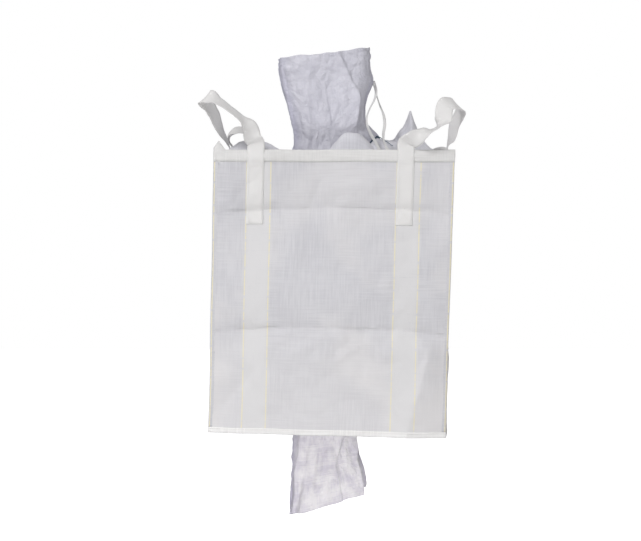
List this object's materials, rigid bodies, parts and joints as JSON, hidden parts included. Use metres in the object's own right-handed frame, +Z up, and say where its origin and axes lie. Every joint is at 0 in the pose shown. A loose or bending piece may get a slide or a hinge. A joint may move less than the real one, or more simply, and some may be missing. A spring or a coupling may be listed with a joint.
{
  "type": "bulk bag",
  "caption": "Open woven bulk bag with webbing lifting loops at its corners, a filling spout with tie tapes on top and a discharge spout below.",
  "frame": {"origin": "middle of the hem's top edge, between the four lifting loops, where the hanging bag is held", "axes": "+Z up out of the filling spout; -Y out of the front wall; +X to the right of the front wall"},
  "size_m": [1.0676, 1.038, 1.91],
  "materials": {
    "woven_cloth": "matte",
    "hem_cloth": "matte",
    "seam_cloth": "matte",
    "webbing": "matte",
    "white_thread": "matte",
    "blue_thread": "matte",
    "fill_spout_cloth": "satin",
    "discharge_spout_cloth": "satin",
    "tie_tape": "matte"
  },
  "bodies": {
    "bag": {"back_bottom_seam": "seam_cloth", "back_hem": "hem_cloth", "back_left_corner_seam": "seam_cloth", "back_panel": "woven_cloth", "back_right_corner_seam": "seam_cloth", "back_wall_left_strap": "webbing", "back_wall_right_strap": "webbing", "bottom_panel": "woven_cloth", "discharge_spout_fold": "discharge_spout_cloth", "discharge_spout_neck": "discharge_spout_cloth", "discharge_spout_overlock": "blue_thread", "fill_spout_fold": "fill_spout_cloth", "fill_spout_neck": "fill_spout_cloth", "fill_spout_overlock": "blue_thread", "front_bottom_seam": "seam_cloth", "front_hem": "hem_cloth", "front_left_corner_seam": "seam_cloth", "front_panel": "woven_cloth", "front_right_corner_seam": "seam_cloth", "front_wall_left_strap": "webbing", "front_wall_right_strap": "webbing", "left_bottom_seam": "seam_cloth", "left_hem": "hem_cloth", "left_panel": "woven_cloth", "left_tie_tape": "tie_tape", "left_wall_left_strap": "webbing", "left_wall_right_strap": "webbing", "right_bottom_seam": "seam_cloth", "right_hem": "hem_cloth", "right_panel": "woven_cloth", "right_tie_tape": "tie_tape", "right_wall_left_strap": "webbing", "right_wall_right_strap": "webbing", "strap_stitching": "white_thread", "top_panel": "woven_cloth"},
    "front_left_loop": {"front_left_loop": "webbing"},
    "front_right_loop": {"front_right_loop": "webbing"},
    "back_right_loop": {"back_right_loop": "webbing"},
    "back_left_loop": {"back_left_loop": "webbing"},
    "fill_spout": {"fill_spout_tube": "fill_spout_cloth", "fill_spout_seam": "fill_spout_cloth", "tie_patch": "fill_spout_cloth"},
    "discharge_spout": {"discharge_spout_tube": "discharge_spout_cloth", "discharge_spout_seam": "discharge_spout_cloth"}
  },
  "joints": [
    {"name": "front_left_loop_flop", "type": "hinge", "parent": "bag", "child": "front_left_loop", "pos_m": [-0.37248, -0.36023, 0.032], "axis": [0.6548, -0.7558, 0], "range_deg": [-100, 58]},
    {"name": "front_right_loop_flop", "type": "hinge", "parent": "bag", "child": "front_right_loop", "pos_m": [0.36023, -0.37248, 0.032], "axis": [0.7558, 0.6548, 0], "range_deg": [-100, 38]},
    {"name": "back_right_loop_flop", "type": "hinge", "parent": "bag", "child": "back_right_loop", "pos_m": [0.37248, 0.36023, 0.032], "axis": [-0.6548, 0.7558, 0], "range_deg": [-125, 60]},
    {"name": "back_left_loop_flop", "type": "hinge", "parent": "bag", "child": "back_left_loop", "pos_m": [-0.36023, 0.37248, 0.032], "axis": [-0.7558, -0.6548, 0], "range_deg": [-95, 80]},
    {"name": "fill_spout_fold_over", "type": "hinge", "parent": "bag", "child": "fill_spout", "pos_m": [0, 0, 0.194], "axis": [1, 0, 0], "range_deg": [-90, 90], "deforming": ["fill_spout_fold", "left_tie_tape", "right_tie_tape"]},
    {"name": "discharge_spout_fold_over", "type": "hinge", "parent": "bag", "child": "discharge_spout", "pos_m": [0, 0, -1.239], "axis": [1, 0, 0], "range_deg": [-90, 90], "deforming": ["discharge_spout_fold"]}
  ]
}
